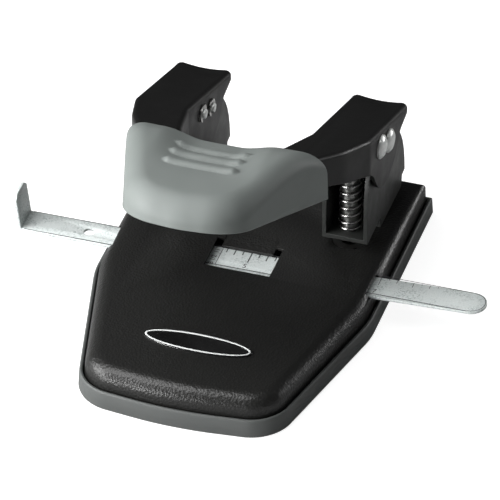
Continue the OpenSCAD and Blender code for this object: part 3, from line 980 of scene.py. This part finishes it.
def walk(points, shares):
    """Points at the given shares of a path's length."""
    p = np.array([tuple(q) for q in points])
    run = np.concatenate([[0], np.cumsum(np.linalg.norm(np.diff(p, axis=0), axis=1))])
    s = np.asarray(shares) * run[-1]
    return np.stack([np.interp(s, run, p[:, 0]), np.interp(s, run, p[:, 1])], axis=-1)


def side_path(inset):
    """The grip's outline, from the right rear corner round the front, moved in by inset."""
    corners = both_sides([(38.6, grip_rear, 0), (21.1, -100.5, 19), (0, -103.5, 28)])
    at = [Vector(c[:2]) for c in corners]
    moved = []
    for i, c in enumerate(corners):
        if 0 < i < len(corners) - 1:
            a, b = at[i - 1], at[i + 1]
        else:
            step = (at[1] - at[0]) if i == 0 else (at[-1] - at[-2])
            a, b = at[i] - step, at[i] + step
        d0, d1 = (at[i] - a).normalized(), (b - at[i]).normalized()
        n0, n1 = Vector((d0.y, -d0.x)), Vector((d1.y, -d1.x))
        q = at[i] + (n0 + n1) / (1 + n0.dot(n1)) * inset
        moved.append((q.x, q.y, max(c[2] - inset, 0)))
    return open_path(moved, 24)


OUTER_PATH = np.array([tuple(p) for p in side_path(0)])


def distance_to_side(x, y):
    """Distance of each point from the grip's side and front outline."""
    best = np.full(x.shape, 1e9)
    for a, b in zip(OUTER_PATH[:-1], OUTER_PATH[1:]):
        d = b - a
        length = d @ d
        if length < 1e-12:
            continue
        t = np.clip(((x - a[0]) * d[0] + (y - a[1]) * d[1]) / length, 0, 1)
        best = np.minimum(best, np.hypot(x - a[0] - t * d[0], y - a[1] - t * d[1]))
    return best


def rear_edge(x):
    """The y of the grip's rear edge, which is hollowed towards the middle."""
    hollow, half, gap = 4.4, 38.2, 0.4
    return grip_rear - gap - hollow * (1 - np.clip(np.abs(x) / half, 0, 1) ** 2)


def ridges(x, y):
    """How far the three round-ended finger ridges stand above the grip."""
    height, half_w, half_l, fullness = 1.55, 2.4, 14.0, 0.62
    total = np.zeros_like(x)
    for at in (-58.4, -65.9, -73.5):
        past = np.maximum(np.abs(x) - (half_l - half_w), 0)
        q = np.hypot(past, y - at) / half_w
        total += height * np.clip(1 - q * q, 0, 1) ** fullness
    return total


def rounded_edge(share):
    """The drop of a quarter round, from 0 to 1, where share of its width has been crossed."""
    return 1 - np.sqrt(np.clip(1 - share * share, 0, 1))


def grip_surface(x, y, ridged=True):
    """The grip's top: crowned along, raised at the sides, and rounded down at every edge."""
    crown_h, crown_y = 2.63, -59
    crown = crown_h - np.where(y > crown_y, 0.0125, 0.0045) * (y - crown_y) ** 2
    rise = (2.6 + saddle(y)) * smoothstep((np.abs(x) - 7) / 15) * smoothstep((y + 86) / 34)
    plain = lever_top(y) + crown + rise
    front = smoothstep((-y - 76) / 24)
    side_wide, side_deep = 8.0, 7.2
    wide = side_wide + 3.5 * front
    deep = np.minimum(side_deep + 4.0 * front, plain - grip_foot(y) - least_side)
    near_side = np.clip(1 - distance_to_side(x, y) / wide, 0, 1)
    near_rear = np.clip(1 - (rear_edge(x) - y) / rear_r, 0, 1)
    z = plain - deep * rounded_edge(near_side) - rear_r * rounded_edge(near_rear)
    return z + ridges(x, y) if ridged else z


def coons(left, right, rear, front, u, v):
    """Fills four curves: left and right run with v, rear and front run with u."""
    u = u[None, :, None]
    v = v[:, None, None]
    flat = (1 - u) * left[:, None] + u * right[:, None] + (1 - v) * rear[None] + v * front[None]
    corners = (1 - u) * (1 - v) * rear[0] + u * (1 - v) * rear[-1]
    corners = corners + (1 - u) * v * front[0] + u * v * front[-1]
    return flat - corners


def grip_patch(inset, u, v):
    """A grid of (x, y) that fills the grip's outline, with its rear row along the rear edge."""
    path = side_path(inset)
    corner = 0.405  # share of the path where a side of the grid ends and its front starts
    right = walk(path, v * corner)
    left = right * np.array([-1, 1])
    front = walk(path, corner + (1 - 2 * corner) * (1 - u))
    rear_x = right[0, 0] * (2 * u - 1)
    rear = np.stack([rear_x, rear_edge(rear_x)], axis=-1)
    shift = rear[0] - left[0]
    fade = (1 - v)[:, None] ** 2
    left = left + shift * fade
    right = right + np.array([-shift[0], shift[1]]) * fade
    return coons(left, right, rear, front, u, v)


def make_grip():
    """A hollow moulding: an outer and an inner skin, walls down to the foot, and an open rear."""
    skin, wall, roof, lever_gap = 0.12, 2.6, 1.4, 0.15
    nose_depth = 14
    well_inside = np.array([0, -70])
    levels = 7
    columns = 100
    u = 0.5 - 0.5 * np.cos(np.linspace(0, math.pi, columns + 1))
    back = [rear_r * (1 - math.cos(a)) for a in np.linspace(0, math.pi / 2, 6)]
    nose = [grip_length - nose_depth * (1 - math.cos(a)) for a in np.linspace(math.pi / 2, 0, 18)]
    middle = list(np.linspace(back[-1], nose[0], 110))[1:-1]
    v = np.array(back + middle + nose) / grip_length
    rows = len(v) - 1

    outer = grip_patch(skin, u, v)
    inner = grip_patch(wall, u, v)
    outer_z = grip_surface(outer[..., 0], outer[..., 1])
    shell_z = grip_surface(inner[..., 0], inner[..., 1], ridged=False) - roof
    inner_z = np.minimum(lever_top(inner[..., 1]) + lever_gap, shell_z)
    points, faces = [], []

    def add(p, z):
        points.append((float(p[0]), float(p[1]), float(z)))
        return len(points) - 1

    def patch(xy, z):
        ids = [[add(xy[j, i], z[j, i]) for i in range(columns + 1)] for j in range(rows + 1)]
        for j in range(rows):
            for i in range(columns):
                faces.append((ids[j][i], ids[j][i + 1], ids[j + 1][i + 1], ids[j + 1][i]))
        return ids

    def rim(ids):
        """The left, front and right edges of a patch as one line."""
        left = [ids[j][0] for j in range(rows + 1)]
        front = [ids[rows][i] for i in range(1, columns)]
        right = [ids[j][columns] for j in range(rows, -1, -1)]
        return left + front + right

    def wall_down(ids, spread, foot_lift):
        """Walls from the rim of a patch down to the foot, moved out by spread on the way."""
        start = rim(ids)
        at = np.array([points[k] for k in start])
        tangent = np.gradient(at[:, :2], axis=0)
        tangent /= np.linalg.norm(tangent, axis=1)[:, None]
        out = np.stack([tangent[:, 1] * -1, tangent[:, 0]], axis=1)
        out *= np.sign((out * (at[:, :2] - well_inside)).sum(1))[:, None]
        lines = [start]
        for k in range(1, levels + 1):
            t = k / levels
            xy = at[:, :2] + out * spread * t
            z = at[:, 2] + (grip_foot(xy[:, 1]) + foot_lift - at[:, 2]) * t
            lines.append([add(xy[i], z[i]) for i in range(len(start))])
        for a, b in zip(lines[:-1], lines[1:]):
            for i in range(len(start) - 1):
                faces.append((a[i], a[i + 1], b[i + 1], b[i]))
        return lines

    outer_ids = patch(outer, outer_z)
    inner_ids = patch(inner, inner_z)
    outer_walls = wall_down(outer_ids, 0.4, 0.35)
    inner_walls = wall_down(inner_ids, 0.0, 0.2)
    outer_foot = outer_walls[-1]
    inner_foot = inner_walls[-1]
    edge_share, edge_drop = 0.14, 0.35
    edge = []
    for k in range(len(outer_foot)):
        a, b = np.array(points[outer_foot[k]]), np.array(points[inner_foot[k]])
        q = a + (b - a) * edge_share
        edge.append(add(q[:2], q[2] - edge_drop))
    for i in range(len(edge) - 1):
        faces.append((outer_foot[i], outer_foot[i + 1], edge[i + 1], edge[i]))
        faces.append((edge[i], edge[i + 1], inner_foot[i + 1], inner_foot[i]))

    def arch(ids, walls):
        """The open rear edge of a skin: up the left wall, over the top and down the right wall."""
        left = [line[0] for line in reversed(walls)]
        right = [line[-1] for line in walls]
        return left[:-1] + [ids[0][i] for i in range(columns + 1)] + right[1:]

    a, b = arch(outer_ids, outer_walls), arch(inner_ids, inner_walls)
    for i in range(len(a) - 1):
        faces.append((a[i], a[i + 1], b[i + 1], b[i]))
    faces.append((a[0], b[0], edge[0]))
    faces.append((a[-1], b[-1], edge[-1]))
    obj = new_object("grip_moulding", points, faces)
    settle(obj, GRIP, "lever", "handle_grip", 50)


make_grip()

# ---------- springs ----------


def make_spring(side_name):
    """A coil with one closed turn at each end."""
    node = side_name + "_spring"
    lo, hi = cad_box(node)
    centre = cad_middle(node)
    wire = 0.9
    coils = 9.5
    r = (hi.x - lo.x) / 2 - wire / 2
    turn_steps, wire_steps = 28, 12
    length = hi.z - lo.z - wire
    dead = 1.0
    flat = wire * 1.04

    def rise(t):
        """How far up the wire's middle is after t turns."""
        if t < dead:
            return flat * t
        if t > coils - dead:
            return length - flat * (coils - t)
        return flat + (length - 2 * flat) * (t - dead) / (coils - 2 * dead)

    rings = []
    for i in range(int(coils * turn_steps) + 1):
        t = i / turn_steps
        a = 2 * math.pi * t
        z = lo.z + wire / 2 + rise(t)
        section = []
        for j in range(wire_steps):
            b = 2 * math.pi * j / wire_steps
            out = r + wire / 2 * math.cos(b)
            section.append((
                centre.x + out * math.cos(a), centre.y + out * math.sin(a), z + wire / 2 * math.sin(b),
            ))
        rings.append(section)
    obj = loft(node + "_wire", rings)
    settle(obj, WIRE, "base", node, 60)
    joint = side_name + "_punch_slide"
    travel = max(joint_named(joint)["range_m"]) / MM
    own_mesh(obj)


make_spring("left")
make_spring("right")

# ---------- CAD pieces that stay ----------


def dress(node, material, bevel_mm=0.0):
    """Gives a CAD piece its material, smooth shading and, through modifiers, rounded edges."""
    obj = frame["nodes"][node]
    wear(obj, material)
    weld = obj.modifiers.new("weld", "WELD")
    weld.merge_threshold = 1e-6
    obj.data.shade_smooth()
    sharp_degrees = 35
    if bevel_mm:
        bevel(obj, bevel_mm, sharp_degrees)
        obj.modifiers.new("even", "WEIGHTED_NORMAL")
    else:
        split = obj.modifiers.new("split", "EDGE_SPLIT")
        split.split_angle = math.radians(sharp_degrees)


for name in ("left_bracket", "right_bracket"):
    dress(name, BRACKET, 0.22)
for name in ("die_plate", "guide_rail"):
    dress(name, PLATE, 0.12)
for side_name in ("left", "right"):
    dress(side_name + "_die", PUNCH)
    dress(side_name + "_punch", PUNCH)
    dress(side_name + "_pivot_pin", PIN)
    dress(side_name + "_drive_pin", PIN)
    dress(side_name + "_spring_clip", CLIP)
for name in ("pivot_pin_clips", "drive_pin_clips"):
    dress(name, CLIP)
dress("bracket_rivets", RIVET)

# ---------- stage ----------


def camera_or_rest(tree, seen, felt, output):
    """Ends a node tree with one shader for what the camera sees and another for all other rays."""
    path = add_node(tree, "ShaderNodeLightPath")
    mix = add_node(tree, "ShaderNodeMixShader")
    out = add_node(tree, output)
    tree.links.new(path.outputs["Is Camera Ray"], mix.inputs["Fac"])
    tree.links.new(felt, mix.inputs[1])
    tree.links.new(seen, mix.inputs[2])
    tree.links.new(mix.outputs["Shader"], out.inputs["Surface"])


def make_floor():
    """A floor the camera sees as white. Bounced light finds it pale, with a faint band of glow
    behind the object and nothing further back."""
    size = 6.0
    height = -0.0001
    mesh = bpy.data.meshes.new("floor")
    corners = [(-size, -size), (size, -size), (size, size), (-size, size)]
    mesh.from_pydata([(x, y, height) for x, y in corners], [], [(0, 1, 2, 3)])
    floor = bpy.data.objects.new("floor", mesh)
    bpy.context.scene.collection.objects.link(floor)
    mat = bpy.data.materials.new("floor_pale")
    mat.use_nodes = True
    tree = mat.node_tree
    tree.nodes.clear()

    place = add_node(tree, "ShaderNodeNewGeometry")
    split = add_node(tree, "ShaderNodeSeparateXYZ")
    tree.links.new(place.outputs["Position"], split.inputs["Vector"])
    band_start = map_range(tree, split.outputs["Y"], 0.02, 0.09, 0.0, 0.04)
    paleness = map_range(tree, split.outputs["Y"], 0.08, 0.2, 0.42, 0.0)
    band = add_node(tree, "ShaderNodeMath")
    band.operation = "MULTIPLY"
    tree.links.new(band_start, band.inputs[0])
    tree.links.new(paleness, band.inputs[1])
    bounce = add_node(tree, "ShaderNodeBsdfDiffuse")
    glow = add_node(tree, "ShaderNodeEmission")
    tree.links.new(paleness, bounce.inputs["Color"])
    tree.links.new(band.outputs["Value"], glow.inputs["Strength"])
    seen_white = add_node(tree, "ShaderNodeBsdfDiffuse", {"Color": (0.4, 0.4, 0.4, 1)})
    seen_glow = add_node(tree, "ShaderNodeEmission", {"Strength": 0.9})

    def both(a, b):
        node = add_node(tree, "ShaderNodeAddShader")
        tree.links.new(a.outputs[0], node.inputs[0])
        tree.links.new(b.outputs[0], node.inputs[1])
        return node.outputs[0]

    camera_or_rest(tree, both(seen_white, seen_glow), both(bounce, glow), "ShaderNodeOutputMaterial")
    mesh.materials.append(mat)


def make_world():
    """A dim room, paler low down than overhead, that the camera sees as plain white."""
    world = bpy.data.worlds.new("studio")
    bpy.context.scene.world = world
    world.use_nodes = True
    tree = world.node_tree
    tree.nodes.clear()
    seen = add_node(tree, "ShaderNodeBackground", {"Color": (1, 1, 1, 1)})
    room = add_node(tree, "ShaderNodeBackground", {"Color": (0.97, 0.98, 1, 1)})
    where = add_node(tree, "ShaderNodeTexCoord")
    split = add_node(tree, "ShaderNodeSeparateXYZ")
    tree.links.new(where.outputs["Generated"], split.inputs["Vector"])
    strength = map_range(tree, split.outputs["Z"], 0.02, 0.45, 0.12, 0.07)
    tree.links.new(strength, room.inputs["Strength"])
    camera_or_rest(
        tree, seen.outputs["Background"], room.outputs["Background"], "ShaderNodeOutputWorld",
    )


def direction(azimuth, elevation):
    """The unit vector towards an azimuth from the front, turning right, and an elevation."""
    a, e = math.radians(azimuth), math.radians(elevation)
    return Vector((math.sin(a) * math.cos(e), -math.cos(a) * math.cos(e), math.sin(e)))


look_at = Vector((3.8, -26.75, 22.57)) * MM


def aimed(name, data, azimuth, elevation, distance):
    """Puts a light or the camera at a distance from look_at, turned towards it."""
    obj = bpy.data.objects.new(name, data)
    away = direction(azimuth, elevation)
    obj.location = look_at + away * distance
    obj.rotation_mode = "QUATERNION"
    obj.rotation_quaternion = (-away).to_track_quat("-Z", "Y")
    bpy.context.scene.collection.objects.link(obj)
    return obj


def softbox(name, azimuth, elevation, distance, width, height, watts):
    """Angles in degrees, sizes in metres."""
    light = bpy.data.lights.new(name, "AREA")
    light.shape = "RECTANGLE"
    light.size = width
    light.size_y = height
    light.energy = watts
    aimed(name, light, azimuth, elevation, distance)


def make_camera():
    data = bpy.data.cameras.new("camera")
    data.lens = 432
    data.sensor_width = 36
    data.clip_start = 0.1
    data.clip_end = 30
    azimuth, elevation, distance = 17.634, 37.311, 2.24495
    bpy.context.scene.camera = aimed("camera", data, azimuth, elevation, distance)


make_floor()
make_world()
softbox("key", -65, 26, 1.3, 0.9, 0.7, 26)
softbox("above", -60, 66, 1.4, 0.8, 0.8, 15)
softbox("fill", -33, 6, 1.6, 0.5, 0.22, 17)
softbox("edge", 138, 4, 1.4, 0.5, 0.25, 5)
make_camera()
bpy.context.scene.view_settings.view_transform = "Standard"
